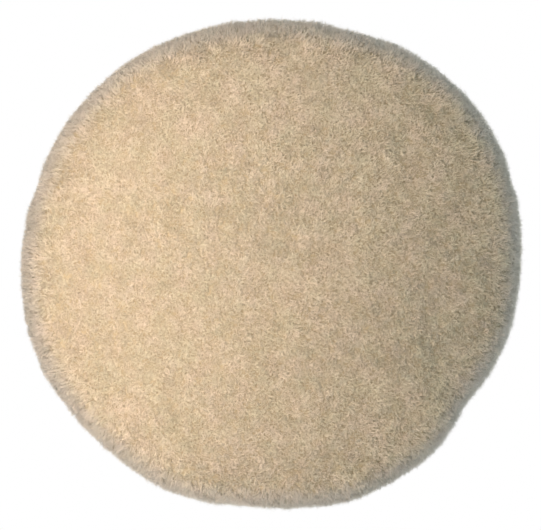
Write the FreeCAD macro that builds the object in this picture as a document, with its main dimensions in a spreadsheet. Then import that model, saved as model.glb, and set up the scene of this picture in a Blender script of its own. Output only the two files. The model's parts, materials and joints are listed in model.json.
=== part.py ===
"""Lambswool polishing pad with a foam cushion and a hook-and-loop back.

The pad is round about the Y axis. The fleece faces -Y and the loop fabric faces +Y.
The origin is the centre of the loop face, which lies in the plane y = 0, so a depth is
a distance from that plane towards the fleece. All sizes are in millimetres.

From the back to the face, the pieces are: loop pile, loop ground, glue, the turned-in
margin of the hide with a felt filler inside it, glue, board, glue, foam, glue, hide, wool.
"""

import FreeCAD
import Part
import Sketcher
import math
import os

SIZES = {
    # overall
    "pad_diameter": 180,
    "pile_length": 16,
    "side_pile": 11,
    "pile_rim_radius": 15,
    "pile_back_radius": 9,
    "pile_setback": 1,
    "pile_overlap": 0.6,
    # hide
    "hide_thickness": 1.2,
    "margin_width": 19,
    "tab_slit_width": 0.8,
    "tab_slit_length": 11,
    "tab_slit_count": 24,
    # core
    "foam_thickness": 10,
    "foam_shoulder": 8,
    "board_thickness": 1.2,
    "board_edge_radius": 0.6,
    "glue_thickness": 0.2,
    # loop disc
    "loop_pile_height": 1.4,
    "loop_ground_thickness": 0.5,
    "filler_gap": 0.5,
    # centring ring
    "ring_bore_radius": 11,
    "ring_wall": 1.5,
    "ring_flange_width": 5.5,
    "ring_recess": 0.3,
    "ring_gap": 0.15,
    "ring_lead_in": 0.4,
    # seam
    "thread_diameter": 0.6,
    "stitch_pitch": 5,
    "stitch_reach": 2.4,
    "stitch_gap": 0.05,
    "stitch_pile_gap": 0.3,
    "stitch_wool_gap": 0.75,
}

# A thread bends round the loop disc's edge on a radius of this many thread radii.
THREAD_BEND = 1.5
# How far the slits' outline runs past the margin's inner edge, so the cut is open there.
SLIT_OVERRUN = 1
# Lengths closer than this are the same.
TOLERANCE = 0.001
# The share by which the slits' volume may differ from their plain boxes.
SLIT_VOLUME_SHARE = 0.1


def cell(alias):
    return "Sizes." + alias


# Expressions for the places that several pieces share. Depths count from the loop face.
GROUND_BACK = cell("loop_pile_height")
LOOP_GLUE_BACK = f"({GROUND_BACK} + {cell('loop_ground_thickness')})"
MARGIN_BACK = f"({LOOP_GLUE_BACK} + {cell('glue_thickness')})"
COVER_BACK = f"({MARGIN_BACK} + {cell('hide_thickness')})"
BOARD_BACK = f"({COVER_BACK} + {cell('glue_thickness')})"
BOARD_GLUE_BACK = f"({BOARD_BACK} + {cell('board_thickness')})"
FOAM_BACK = f"({BOARD_GLUE_BACK} + {cell('glue_thickness')})"
FOAM_FRONT = f"({FOAM_BACK} + {cell('foam_thickness')})"
COVER_FRONT = f"({FOAM_FRONT} + {cell('glue_thickness')})"
HIDE_FRONT = f"({COVER_FRONT} + {cell('hide_thickness')})"
WOOL_FRONT = f"({HIDE_FRONT} + {cell('pile_length')})"

PAD_RADIUS = f"({cell('pad_diameter')} / 2)"
HIDE_RADIUS = f"({PAD_RADIUS} - {cell('side_pile')})"
COVER_RADIUS = f"({HIDE_RADIUS} - {cell('hide_thickness')})"
CORE_RADIUS = f"({COVER_RADIUS} - {cell('glue_thickness')})"
MARGIN_RADIUS = f"({HIDE_RADIUS} - {cell('margin_width')})"
FILLER_RADIUS = f"({MARGIN_RADIUS} - {cell('filler_gap')})"

RING_RADIUS = f"({cell('ring_bore_radius')} + {cell('ring_wall')})"
FLANGE_RADIUS = f"({RING_RADIUS} + {cell('ring_flange_width')})"
RING_HOLE = f"({RING_RADIUS} + {cell('ring_gap')})"
FLANGE_HOLE = f"({FLANGE_RADIUS} + {cell('ring_gap')})"

COVER_SHOULDER = f"({cell('foam_shoulder')} + {cell('glue_thickness')})"
HIDE_SHOULDER = f"({COVER_SHOULDER} + {cell('hide_thickness')})"
COVER_HEEL = f"({cell('board_edge_radius')} + {cell('glue_thickness')})"
HIDE_HEEL = f"({COVER_HEEL} + {cell('hide_thickness')})"

# The wool laps the flat of the margin a little, and the stitches stand clear of the wool.
WOOL_BACK_RADIUS = f"({HIDE_RADIUS} - {HIDE_HEEL} - {cell('pile_overlap')})"
STITCH_RADIUS = f"({WOOL_BACK_RADIUS} - {cell('stitch_wool_gap')})"
LOOP_RADIUS = f"({STITCH_RADIUS} - {cell('thread_diameter')} - {cell('stitch_gap')})"
STITCH_START = f"({LOOP_RADIUS} - {cell('stitch_reach')})"
STITCH_EDGE = f"({STITCH_START} - {cell('thread_diameter')} / 2)"
LOOP_PILE_RADIUS = f"({STITCH_EDGE} - {cell('stitch_pile_gap')})"


def make_sheet(doc):
    """The spreadsheet that holds every driving dimension, one alias to a row."""
    sheet = doc.addObject("Spreadsheet::Sheet", "Sizes")
    for row, (alias, value) in enumerate(SIZES.items(), start=1):
        sheet.set(f"A{row}", alias)
        sheet.set(f"B{row}", str(value))
        sheet.setAlias(f"B{row}", alias)
    doc.recompute()
    return sheet


def size_of(doc, expression):
    """The value of an expression on the sheet, as a plain number."""
    return float(doc.getObject("Sizes").evalExpression(expression))


def add_body(doc, label):
    body = doc.addObject("PartDesign::Body", label)
    body.Label = label
    return body


def base_plane(body, role):
    for feature in body.Origin.OriginFeatures:
        if feature.Role == role:
            return feature
    raise ValueError(f"{body.Label} has no {role}")


def add_sketch(body, name, role):
    sketch = body.newObject("Sketcher::SketchObject", name)
    sketch.AttachmentSupport = (base_plane(body, role), [""])
    sketch.MapMode = "FlatFace"
    return sketch


def constrain(sketch, kind, arguments, expression):
    """Add one dimension to a sketch and bind it to the sheet."""
    index = sketch.addConstraint(Sketcher.Constraint(kind, *arguments))
    name = f"{kind}_{index}"
    sketch.renameConstraint(index, name)
    sketch.setExpression(f"Constraints.{name}", expression)


def outline(doc, sketch, corners):
    """A closed outline through (radius, depth) corners, each one bound to the sheet.

    The sketch lies in the XY plane, so a depth is minus the sketch's second coordinate.
    """
    points = [
        FreeCAD.Vector(size_of(doc, radius), -size_of(doc, depth), 0)
        for radius, depth in corners
    ]
    count = len(points)
    for index in range(count):
        sketch.addGeometry(Part.LineSegment(points[index], points[(index + 1) % count]))
    for index in range(count):
        following = (index + 1) % count
        sketch.addConstraint(Sketcher.Constraint("Coincident", index, 2, following, 1))
    for index, (radius, depth) in enumerate(corners):
        if points[index].x == 0:
            sketch.addConstraint(Sketcher.Constraint("PointOnObject", index, 1, -2))
        else:
            constrain(sketch, "DistanceX", (-1, 1, index, 1, points[index].x), radius)
        constrain(sketch, "DistanceY", (index, 1, -1, 1, -points[index].y), depth)


def revolved(doc, label, corners):
    """A body turned about the Y axis from an outline of (radius, depth) corners."""
    body = add_body(doc, label)
    sketch = add_sketch(body, f"{label}_section", "XY_Plane")
    outline(doc, sketch, corners)
    turn = body.newObject("PartDesign::Revolution", f"{label}_turned")
    turn.Profile = sketch
    turn.ReferenceAxis = (sketch, ["V_Axis"])
    turn.Angle = 360
    doc.recompute()
    return body


def ring_edge(doc, shape, radius, depth):
    """The name of the round edge at this radius and depth."""
    wanted_radius = size_of(doc, radius)
    wanted_depth = size_of(doc, depth)
    for index, edge in enumerate(shape.Edges, start=1):
        curve = edge.Curve
        if not isinstance(curve, Part.Circle):
            continue
        off = abs(curve.Radius - wanted_radius) + abs(curve.Center.y + wanted_depth)
        if off < TOLERANCE:
            return f"Edge{index}"
    raise ValueError(f"no edge at radius {wanted_radius} and depth {wanted_depth}")


def round_off(doc, body, radius, depth, size, kind="Fillet"):
    """Round, or chamfer, the edge at this radius and depth."""
    base = body.Tip
    feature = body.newObject(f"PartDesign::{kind}", f"{body.Label}_{kind}")
    feature.Base = (base, [ring_edge(doc, base.Shape, radius, depth)])
    dimension = "Radius" if kind == "Fillet" else "Size"
    feature.setExpression(dimension, size)
    doc.recompute()


def flat_ring(doc, label, inner, outer, back, front):
    """A flat disc with a round hole, such as a fabric, a board or a film."""
    corners = [(inner, back), (outer, back), (outer, front), (inner, front)]
    return revolved(doc, label, corners)


def wool_pile(doc):
    """The wool stands on the hide all round: face, rim and the clipped edge at the back."""
    body = revolved(
        doc,
        "wool_pile",
        [
            ("0", HIDE_FRONT),
            ("0", WOOL_FRONT),
            (PAD_RADIUS, WOOL_FRONT),
            (PAD_RADIUS, cell("pile_setback")),
            (WOOL_BACK_RADIUS, cell("pile_setback")),
            (WOOL_BACK_RADIUS, MARGIN_BACK),
            (HIDE_RADIUS, MARGIN_BACK),
            (HIDE_RADIUS, HIDE_FRONT),
        ],
    )
    round_off(doc, body, PAD_RADIUS, WOOL_FRONT, cell("pile_rim_radius"))
    round_off(doc, body, PAD_RADIUS, cell("pile_setback"), cell("pile_back_radius"))
    round_off(doc, body, HIDE_RADIUS, HIDE_FRONT, HIDE_SHOULDER)
    round_off(doc, body, HIDE_RADIUS, MARGIN_BACK, HIDE_HEEL)
    return body


def cut_tab_slits(doc, body):
    """Slits let the turned-in margin lie flat, so it ends in a ring of tabs."""
    sketch = add_sketch(body, "tab_slit_outline", "XZ_Plane")
    inner = size_of(doc, MARGIN_RADIUS)
    half = size_of(doc, cell("tab_slit_width")) / 2
    reach = size_of(doc, cell("tab_slit_length"))
    low = inner - SLIT_OVERRUN
    high = inner + reach
    corners = [(low, -half), (high, -half), (high, half), (low, half)]
    points = [FreeCAD.Vector(x, y, 0) for x, y in corners]
    for index in range(4):
        sketch.addGeometry(Part.LineSegment(points[index], points[(index + 1) % 4]))
    for index in range(4):
        following = (index + 1) % 4
        sketch.addConstraint(Sketcher.Constraint("Coincident", index, 2, following, 1))
    for index, kind in ((0, "Horizontal"), (2, "Horizontal"), (3, "Vertical")):
        sketch.addConstraint(Sketcher.Constraint(kind, index))
    sketch.addConstraint(Sketcher.Constraint("Symmetric", 1, 1, 1, 2, -1))
    constrain(sketch, "DistanceY", (1, 1, 1, 2, 2 * half), cell("tab_slit_width"))
    slit_start = f"{MARGIN_RADIUS} - {SLIT_OVERRUN}"
    slit_end = f"{MARGIN_RADIUS} + {cell('tab_slit_length')}"
    constrain(sketch, "DistanceX", (-1, 1, 0, 1, low), slit_start)
    constrain(sketch, "DistanceX", (-1, 1, 0, 2, high), slit_end)
    before = body.Tip.Shape.Volume
    slit = body.newObject("PartDesign::Pocket", "tab_slit")
    slit.Profile = sketch
    slit.Reversed = True
    slit.setExpression("Length", BOARD_BACK)
    doc.recompute()
    ring = body.newObject("PartDesign::PolarPattern", "tab_slits")
    ring.Originals = [slit]
    ring.Axis = (sketch, ["N_Axis"])
    ring.Angle = 360
    ring.setExpression("Occurrences", cell("tab_slit_count"))
    body.Tip = ring
    doc.recompute()
    thickness = size_of(doc, cell("hide_thickness"))
    expected = size_of(doc, cell("tab_slit_count")) * reach * 2 * half * thickness
    removed = before - body.Tip.Shape.Volume
    if abs(removed - expected) > SLIT_VOLUME_SHARE * expected:
        raise ValueError(f"the slits removed {removed:.1f} mm3, not {expected:.1f}")


def sheepskin_hide(doc):
    """A cap of skin: flat face, rounded shoulder, side, and a margin turned in at the back."""
    body = revolved(
        doc,
        "sheepskin_hide",
        [
            ("0", COVER_FRONT),
            ("0", HIDE_FRONT),
            (HIDE_RADIUS, HIDE_FRONT),
            (HIDE_RADIUS, MARGIN_BACK),
            (MARGIN_RADIUS, MARGIN_BACK),
            (MARGIN_RADIUS, COVER_BACK),
            (COVER_RADIUS, COVER_BACK),
            (COVER_RADIUS, COVER_FRONT),
        ],
    )
    round_off(doc, body, HIDE_RADIUS, HIDE_FRONT, HIDE_SHOULDER)
    round_off(doc, body, COVER_RADIUS, COVER_FRONT, COVER_SHOULDER)
    round_off(doc, body, HIDE_RADIUS, MARGIN_BACK, HIDE_HEEL)
    round_off(doc, body, COVER_RADIUS, COVER_BACK, COVER_HEEL)
    cut_tab_slits(doc, body)
    return body


def cover_glue(doc):
    """The film that bonds the hide, and the filler, to the core on every side."""
    body = revolved(
        doc,
        "cover_glue",
        [
            (RING_HOLE, FOAM_FRONT),
            (RING_HOLE, COVER_FRONT),
            (COVER_RADIUS, COVER_FRONT),
            (COVER_RADIUS, COVER_BACK),
            (RING_HOLE, COVER_BACK),
            (RING_HOLE, BOARD_BACK),
            (CORE_RADIUS, BOARD_BACK),
            (CORE_RADIUS, FOAM_FRONT),
        ],
    )
    round_off(doc, body, COVER_RADIUS, COVER_FRONT, COVER_SHOULDER)
    round_off(doc, body, CORE_RADIUS, FOAM_FRONT, cell("foam_shoulder"))
    round_off(doc, body, COVER_RADIUS, COVER_BACK, COVER_HEEL)
    round_off(doc, body, CORE_RADIUS, BOARD_BACK, cell("board_edge_radius"))
    return body


def foam_cushion(doc):
    """The cushion has a rounded shoulder at the face, so the wool rolls over softly."""
    body = flat_ring(doc, "foam_cushion", RING_HOLE, CORE_RADIUS, FOAM_BACK, FOAM_FRONT)
    round_off(doc, body, CORE_RADIUS, FOAM_FRONT, cell("foam_shoulder"))
    return body


def backing_board(doc):
    """The board keeps the back flat. Its edge is eased where the hide bends round it."""
    body = flat_ring(doc, "backing_board", RING_HOLE, CORE_RADIUS, BOARD_BACK, BOARD_GLUE_BACK)
    round_off(doc, body, CORE_RADIUS, BOARD_BACK, cell("board_edge_radius"))
    return body


def centring_ring(doc):
    """A moulded ring: its barrel lines the hole and its flange sits under the loop disc."""
    body = revolved(
        doc,
        "centring_ring",
        [
            (cell("ring_bore_radius"), cell("ring_recess")),
            (RING_RADIUS, cell("ring_recess")),
            (RING_RADIUS, MARGIN_BACK),
            (FLANGE_RADIUS, MARGIN_BACK),
            (FLANGE_RADIUS, COVER_BACK),
            (RING_RADIUS, COVER_BACK),
            (RING_RADIUS, BOARD_GLUE_BACK),
            (cell("ring_bore_radius"), BOARD_GLUE_BACK),
        ],
    )
    mouth = (cell("ring_bore_radius"), cell("ring_recess"))
    round_off(doc, body, *mouth, cell("ring_lead_in"), kind="Chamfer")
    return body


def quarter_turn(start, corner, end):
    """A quarter circle that leaves start towards corner and arrives at end."""
    centre = start + end - corner
    middle = centre + (corner - centre).normalize() * start.distanceToPoint(corner)
    return Part.Arc(start, middle, end).toShape()


def one_stitch(doc):
    """One oversewn stitch: out of the selvedge, over the loop disc's edge, into the hide."""
    radius = size_of(doc, cell("thread_diameter")) / 2
    gap = size_of(doc, cell("stitch_gap"))
    edge = size_of(doc, LOOP_RADIUS)
    ground = -size_of(doc, GROUND_BACK)
    hide = -size_of(doc, MARGIN_BACK)
    rise = gap + radius
    bend = THREAD_BEND * radius
    inner = size_of(doc, STITCH_START)
    outer = edge + rise
    top = ground + rise
    start = FreeCAD.Vector(inner, ground, 0)
    over = FreeCAD.Vector(inner + rise, top, 0)
    edge_in = FreeCAD.Vector(outer - bend, top, 0)
    edge_out = FreeCAD.Vector(outer, top - bend, 0)
    path = Part.Wire(
        [
            quarter_turn(start, FreeCAD.Vector(inner, top, 0), over),
            Part.makeLine(over, edge_in),
            quarter_turn(edge_in, FreeCAD.Vector(outer, top, 0), edge_out),
            Part.makeLine(edge_out, FreeCAD.Vector(outer, hide, 0)),
        ]
    )
    section = Part.Wire(Part.makeCircle(radius, start, FreeCAD.Vector(0, 1, 0)))
    return path.makePipeShell([section], True, True)


def edge_stitches(doc):
    """The ring of stitches that sews the loop disc's selvedge to the hide."""
    pitch = size_of(doc, cell("stitch_pitch"))
    around = 2 * math.pi * size_of(doc, LOOP_RADIUS)
    count = round(around / pitch)
    stitch = one_stitch(doc)
    axis = FreeCAD.Vector(0, 1, 0)
    stitches = []
    for index in range(count):
        placed = stitch.copy()
        placed.rotate(FreeCAD.Vector(0, 0, 0), axis, 360 * index / count)
        stitches.append(placed)
    feature = doc.addObject("Part::Feature", "edge_stitches")
    feature.Label = "edge_stitches"
    feature.Shape = Part.makeCompound(stitches)
    return feature


def build(doc):
    make_sheet(doc)
    return [
        wool_pile(doc),
        sheepskin_hide(doc),
        cover_glue(doc),
        foam_cushion(doc),
        flat_ring(doc, "board_glue", RING_HOLE, CORE_RADIUS, BOARD_GLUE_BACK, FOAM_BACK),
        backing_board(doc),
        flat_ring(doc, "felt_filler", FLANGE_HOLE, FILLER_RADIUS, MARGIN_BACK, COVER_BACK),
        centring_ring(doc),
        flat_ring(doc, "loop_glue", RING_HOLE, LOOP_RADIUS, LOOP_GLUE_BACK, MARGIN_BACK),
        flat_ring(doc, "loop_ground", RING_HOLE, LOOP_RADIUS, GROUND_BACK, LOOP_GLUE_BACK),
        flat_ring(doc, "loop_pile", RING_HOLE, LOOP_PILE_RADIUS, "0", GROUND_BACK),
        edge_stitches(doc),
    ]


def write_parts(doc, pieces):
    """Check every object, then write one STEP file for each piece."""
    doc.recompute()
    for item in doc.Objects:
        if "Invalid" in item.State or "Error" in item.State:
            raise ValueError(f"{item.Label} did not recompute: {item.State}")
    for piece in pieces:
        if piece.Shape.isNull() or not piece.Shape.isValid():
            raise ValueError(f"{piece.Label} has no valid shape")
    os.makedirs("parts", exist_ok=True)
    for piece in pieces:
        piece.Shape.exportStep(f"parts/{piece.Label}.step")
        volume = piece.Shape.Volume / 1000
        print(f"{piece.Label}: {len(piece.Shape.Solids)} solid(s), {volume:.2f} cm3")


document = FreeCAD.newDocument("polishing_pad")
write_parts(document, build(document))
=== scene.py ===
# %% [markdown]
# # A lambswool polishing pad
#
# The pad is a disc of short-sheared sheepskin, lasted over a foam cushion, with a loop
# fabric on its back that grips a machine's backing plate. The solid model holds the sizes
# and the inner pieces. This lesson makes what shows: the wool, the skin, the foam in the
# well, the loop fabric and its stitches. The pad's axis is Y, and the wool looks along -Y.

# %% The frame and the tools
import json
import math

import bmesh
import bpy
import numpy as np
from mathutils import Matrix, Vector


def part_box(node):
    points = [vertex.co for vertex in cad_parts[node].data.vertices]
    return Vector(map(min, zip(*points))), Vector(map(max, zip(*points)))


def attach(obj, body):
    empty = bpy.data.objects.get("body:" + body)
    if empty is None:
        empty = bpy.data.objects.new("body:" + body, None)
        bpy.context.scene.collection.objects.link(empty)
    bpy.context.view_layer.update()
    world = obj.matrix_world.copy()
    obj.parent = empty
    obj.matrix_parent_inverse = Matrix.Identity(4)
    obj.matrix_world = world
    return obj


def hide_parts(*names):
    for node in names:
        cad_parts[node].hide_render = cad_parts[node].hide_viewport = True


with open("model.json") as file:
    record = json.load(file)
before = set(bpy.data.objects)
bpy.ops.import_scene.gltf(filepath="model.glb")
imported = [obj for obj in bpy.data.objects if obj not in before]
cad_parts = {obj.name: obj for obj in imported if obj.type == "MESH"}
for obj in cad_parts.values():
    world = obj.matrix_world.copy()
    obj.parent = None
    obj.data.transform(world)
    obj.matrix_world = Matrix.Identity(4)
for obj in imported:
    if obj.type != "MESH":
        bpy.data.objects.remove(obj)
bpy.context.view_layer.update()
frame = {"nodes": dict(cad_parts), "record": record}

MM = 0.001

# %% [markdown]
# Every driving size comes from the solid model: the wool's outer radius and front, and the
# skin that it grows on. Radii that a box can't tell, such as the rolled rim's, are named
# here once. A depth is a distance from the loop face towards the wool, so it is minus Y.

# %% Sizes
PAD_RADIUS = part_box("wool_pile")[1].x
WOOL_FRONT = -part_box("wool_pile")[0].y
WOOL_BACK = -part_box("wool_pile")[1].y
SKIN_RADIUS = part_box("sheepskin_hide")[1].x
SKIN_FRONT = -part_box("sheepskin_hide")[0].y
SKIN_BACK = -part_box("sheepskin_hide")[1].y
LOOP_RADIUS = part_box("loop_ground")[1].x
RIM_RADIUS = 15 * MM
BACK_RADIUS = 9 * MM
WOOL_GAP = 1.4 * MM
WOOL_INNER = LOOP_RADIUS + WOOL_GAP
FULL_TURN = 2 * math.pi
QUARTER = math.pi / 2


def spokes_round(count):
    """This many even angles all the way round."""
    return np.linspace(0, FULL_TURN, count, endpoint=False)


def place_round(radius, depth, angle):
    """Points at this radius, depth and angle about the pad's axis."""
    return np.stack([radius * np.cos(angle), 0 * angle - depth, radius * np.sin(angle)], -1)


def away_at(angle):
    """Directions straight away from the axis."""
    return np.stack([np.cos(angle), 0 * angle, np.sin(angle)], -1)


def round_at(angle):
    """Directions round the axis."""
    return np.stack([-np.sin(angle), 0 * angle, np.cos(angle)], -1)


print("pad radius", round(PAD_RADIUS, 4), "wool front", round(WOOL_FRONT, 4))

# %% [markdown]
# ## The camera
#
# The pad is looked at square on, as a catalogue shows it. A long lens from half a metre away
# keeps the face round and still shows a little of the rim rolling away. The camera is made
# first, so that the framing never depends on what is built later.

# %% Camera
LENS = 100
SENSOR_WIDTH = 36
CAMERA_DISTANCE = 0.526
LOOK_AT = Vector((-0.0006, 0, -0.0009))


def place_camera():
    """A camera in front of the pad, looking along +Y."""
    data = bpy.data.cameras.new("camera")
    data.lens = LENS
    data.sensor_width = SENSOR_WIDTH
    camera = bpy.data.objects.new("camera", data)
    bpy.context.scene.collection.objects.link(camera)
    camera.location = LOOK_AT + Vector((0, -WOOL_FRONT - CAMERA_DISTANCE, 0))
    camera.rotation_euler = (QUARTER, 0, 0)
    bpy.context.scene.camera = camera
    return camera


camera = place_camera()
print("camera", tuple(round(value, 3) for value in camera.location))

# %% [markdown]
# ## Shader maths as Python
#
# A node graph reads badly as a list of links. Here a wire is a node's output, and Python's
# own + - * and ** add Math nodes, so a recipe reads as the formula that it is. Colours go
# through a Mix node instead, because a Math node would turn them grey. A colour mix has
# its two colours and its result at fixed places among its sockets, which are named here.

# %% Wires and finishes
MIX_FIRST, MIX_SECOND, MIX_RESULT = 6, 7, 2


class Wire:
    """A node's output, for use in Python expressions."""

    def __init__(self, tree, socket):
        self.tree = tree
        self.socket = socket

    def math(self, operation, first, second):
        node = self.tree.nodes.new("ShaderNodeMath")
        node.operation = operation
        for socket, value in zip(node.inputs, (first, second)):
            plug(self.tree, socket, value)
        return Wire(self.tree, node.outputs[0])

    def __add__(self, other):
        return self.math("ADD", self, other)

    def __sub__(self, other):
        return self.math("SUBTRACT", self, other)

    def __rsub__(self, other):
        return self.math("SUBTRACT", other, self)

    def __mul__(self, other):
        return self.math("MULTIPLY", self, other)

    def __pow__(self, other):
        return self.math("POWER", self, other)

    __radd__ = __add__
    __rmul__ = __mul__


def plug(tree, socket, value):
    """Link a wire to a socket, or set the socket's own value."""
    if isinstance(value, Wire):
        tree.links.new(value.socket, socket)
    elif isinstance(value, tuple) and socket.type == "RGBA":
        socket.default_value = (*value[:3], 1)
    else:
        socket.default_value = value


class Graph:
    """A node tree in the making."""

    def __init__(self, tree):
        self.tree = tree
        self.tree.nodes.clear()

    def node(self, kind, inputs, settings=None, output=0):
        """Any node: its type, the values or wires of its sockets, and its settings."""
        node = self.tree.nodes.new("ShaderNode" + kind)
        for name, value in (settings or {}).items():
            if name == "stops":
                set_stops(node.color_ramp, value)
            else:
                setattr(node, name, value)
        for name, value in inputs.items():
            plug(self.tree, node.inputs[name], value)
        return Wire(self.tree, node.outputs[output]) if node.outputs else None

    def mix(self, share, first, second):
        """The first colour where share is 0, and the second where it is 1."""
        inputs = {0: share, MIX_FIRST: first, MIX_SECOND: second}
        return self.node("Mix", inputs, {"data_type": "RGBA"}, output=MIX_RESULT)


class Finish(Graph):
    """A material in the making."""

    def __init__(self, name):
        self.material = bpy.data.materials.new(name)
        self.material.use_nodes = True
        super().__init__(self.material.node_tree)

    def place(self):
        """The point on the piece, in metres."""
        return self.node("TexCoord", {}, output="Object")

    def noise(self, scale, detail=2.0, roughness=0.5, vector=None):
        """Soft noise from 0 to 1, with about this many blobs to a metre."""
        inputs = {
            "Vector": vector or self.place(),
            "Scale": scale,
            "Detail": detail,
            "Roughness": roughness,
        }
        return self.node("TexNoise", inputs)

    def attribute(self, name):
        """A number that the mesh carries at each point."""
        return self.node("Attribute", {}, {"attribute_name": name}, output="Fac")

    def ramp(self, value, stops):
        return self.node("ValToRGB", {"Fac": value}, {"stops": stops})

    def bump(self, height, depth, strength=1.0):
        """A bump of this depth in metres, where height runs from 0 to 1."""
        inputs = {"Height": height, "Distance": depth, "Strength": strength}
        return self.node("Bump", inputs)

    def surface(self, inputs):
        """The finished surface, from the shader's own sockets."""
        shader = self.node("BsdfPrincipled", inputs)
        self.node("OutputMaterial", {"Surface": shader})
        return self.material


def set_stops(ramp, stops):
    """Give a colour ramp its stops: (place, colour) from left to right."""
    while len(ramp.elements) < len(stops):
        ramp.elements.new(0.5)
    for element, (place, colour) in zip(ramp.elements, stops):
        element.position = place
        element.color = (*colour, 1)


print("a finish can be made with:", [name for name in vars(Finish) if name[0] != "_"])

# %% [markdown]
# ## The studio
#
# A narrow upright warm softbox hangs in front of the left half, so near that its light
# falls off across the face, and a cool one stands up on the right. The backdrop is white
# where the camera looks straight at it. As a light it is bright behind the pad, which gives
# the rim its pale edge, and a dim grey in front, where the dark side of the studio is.

# %% Lights and backdrop
KEY_COLOUR = (1.0, 0.74, 0.58)
KEY_POWER = 0.545
KEY_PLACE = (-0.062, -0.172, 0.005)
KEY_SIZE = (0.05, 0.26)
FILL_COLOUR = (0.86, 0.96, 1.0)
FILL_POWER = 1.0
FILL_PLACE = (0.40, -0.60, 0.45)
FILL_SIZE = (0.5, 0.5)
BACK_COLOUR = (1.0, 0.98, 0.95)
BACK_POWER = 3.5
BACK_PLACE = (0.55, 0.30, 0.25)
AMBIENT = (0.275, 0.31, 0.312)
BACKDROP = (0.95, 0.96, 0.97)
HORIZON_LOW = -0.1
HORIZON_HIGH = 0.5


def add_light(name, colour, power, place, size, target=(0, -WOOL_FRONT, 0)):
    """A softbox of this width and height that points at its target."""
    data = bpy.data.lights.new(name, "AREA")
    data.color = colour
    data.energy = power
    data.shape = "RECTANGLE"
    data.size, data.size_y = size
    light = bpy.data.objects.new(name, data)
    light.location = place
    aim = Vector(target) - light.location
    light.rotation_euler = aim.to_track_quat("-Z", "Y").to_euler()
    light.visible_camera = False
    bpy.context.scene.collection.objects.link(light)
    return light


def make_backdrop():
    """White to the eye; as a light, bright behind the pad and grey in front of it."""
    world = bpy.data.worlds.new("backdrop")
    world.use_nodes = True
    graph = Graph(world.node_tree)
    direction = graph.node("TexCoord", {}, output="Generated")
    behind = {"Value": graph.node("SeparateXYZ", {0: direction}, output="Y")}
    behind.update({"From Min": HORIZON_LOW, "From Max": HORIZON_HIGH})
    behind = graph.node("MapRange", behind, {"interpolation_type": "SMOOTHSTEP"})
    lighting = graph.node("Background", {"Color": graph.mix(behind, AMBIENT, BACKDROP)})
    seen = graph.node("Background", {"Color": (1, 1, 1)})
    looking = graph.node("LightPath", {}, output="Is Camera Ray")
    shown = graph.node("MixShader", {0: looking, 1: lighting, 2: seen})
    graph.node("OutputWorld", {"Surface": shown})
    bpy.context.scene.world = world


KEY_TARGET = (KEY_PLACE[0], -WOOL_FRONT, KEY_PLACE[2])
add_light("key_light", KEY_COLOUR, KEY_POWER, KEY_PLACE, KEY_SIZE, KEY_TARGET)
add_light("fill_light", FILL_COLOUR, FILL_POWER, FILL_PLACE, FILL_SIZE)
add_light("back_light", BACK_COLOUR, BACK_POWER, BACK_PLACE, FILL_SIZE)
make_backdrop()
bpy.context.scene.view_settings.view_transform = "Standard"

# %% [markdown]
# The floor is a plain pale sheet a good way below, so that it never cuts across the pad. It
# glows a little, as a light table does, and so fills the shadows from below.

# %% Floor
FLOOR_DROP = 0.62
FLOOR_SIZE = 4.2
FLOOR_GLOW = 0.35
FLOOR_SPECKLE = 40
SHEET_DARK = (0.80, 0.80, 0.79)
SHEET_LIGHT = (0.84, 0.84, 0.83)


def floor_finish():
    """A pale matt sheet, lit from beneath."""
    finish = Finish("light_table")
    speckle = finish.noise(FLOOR_SPECKLE)
    colour = finish.mix(speckle, SHEET_DARK, SHEET_LIGHT)
    glow = {"Emission Color": (1.0, 1.0, 1.0), "Emission Strength": FLOOR_GLOW}
    return finish.surface({"Base Color": colour, "Roughness": 0.85, **glow})


def make_floor():
    bpy.ops.mesh.primitive_plane_add(size=FLOOR_SIZE, location=(0, 0, -FLOOR_DROP))
    floor = bpy.context.object
    floor.name = "floor"
    floor.data.materials.append(floor_finish())


make_floor()
print("floor", FLOOR_SIZE, "m across,", FLOOR_DROP, "m below the pad's middle")

# %% [markdown]
# ## The wool's outer form
#
# Sheared wool has a clear outer form even though it is made of fibres: a flat face, a rolled
# rim, a side, and a clipped edge at the back. It could be modelled as a mesh and read back,
# but a formula is better here, because the skin, the bed and every fibre need the same point
# and the same outward direction. A place on it is `along`, the distance from the middle of
# the face over the rim to the back edge, and `round`, the angle about the axis.

# %% The section of the pad
SECTION_STEPS = 2000


def section_lengths():
    """The lengths of the section's five stretches: face, rim, side, back roll, back."""
    side = WOOL_FRONT - WOOL_BACK - RIM_RADIUS - BACK_RADIUS
    back = PAD_RADIUS - BACK_RADIUS - WOOL_INNER
    return (PAD_RADIUS - RIM_RADIUS, QUARTER * RIM_RADIUS, side, QUARTER * BACK_RADIUS, back)


def section_table():
    """Radius, depth and turn of the outward direction, at even steps along the section."""
    face, rim, side, roll, back = section_lengths()
    along = np.linspace(0, face + rim + side + roll + back, SECTION_STEPS)
    rim_turn = np.clip((along - face) / RIM_RADIUS, 0, QUARTER)
    roll_turn = np.clip((along - face - rim - side) / BACK_RADIUS, 0, QUARTER)
    turn = rim_turn + roll_turn
    step = along[1] - along[0]
    radius = np.concatenate([[0], np.cumsum(np.cos((turn[1:] + turn[:-1]) / 2) * step)])
    drop = np.concatenate([[0], np.cumsum(np.sin((turn[1:] + turn[:-1]) / 2) * step)])
    return along, radius, WOOL_FRONT - drop, turn


ALONG, RADIUS, DEPTH, TURN = section_table()
SECTION_LENGTH = ALONG[-1]
print("section length, mm:", round(SECTION_LENGTH / MM, 1))

# %% [markdown]
# No hand-lasted pad is quite round. Where the skin was drawn tighter the outline pulls in,
# most of all on a short straight stretch at the lower right, and where it had slack it swells.
# Each lobe is an angle, how far the outline moves there and how wide the stretch is.

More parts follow.
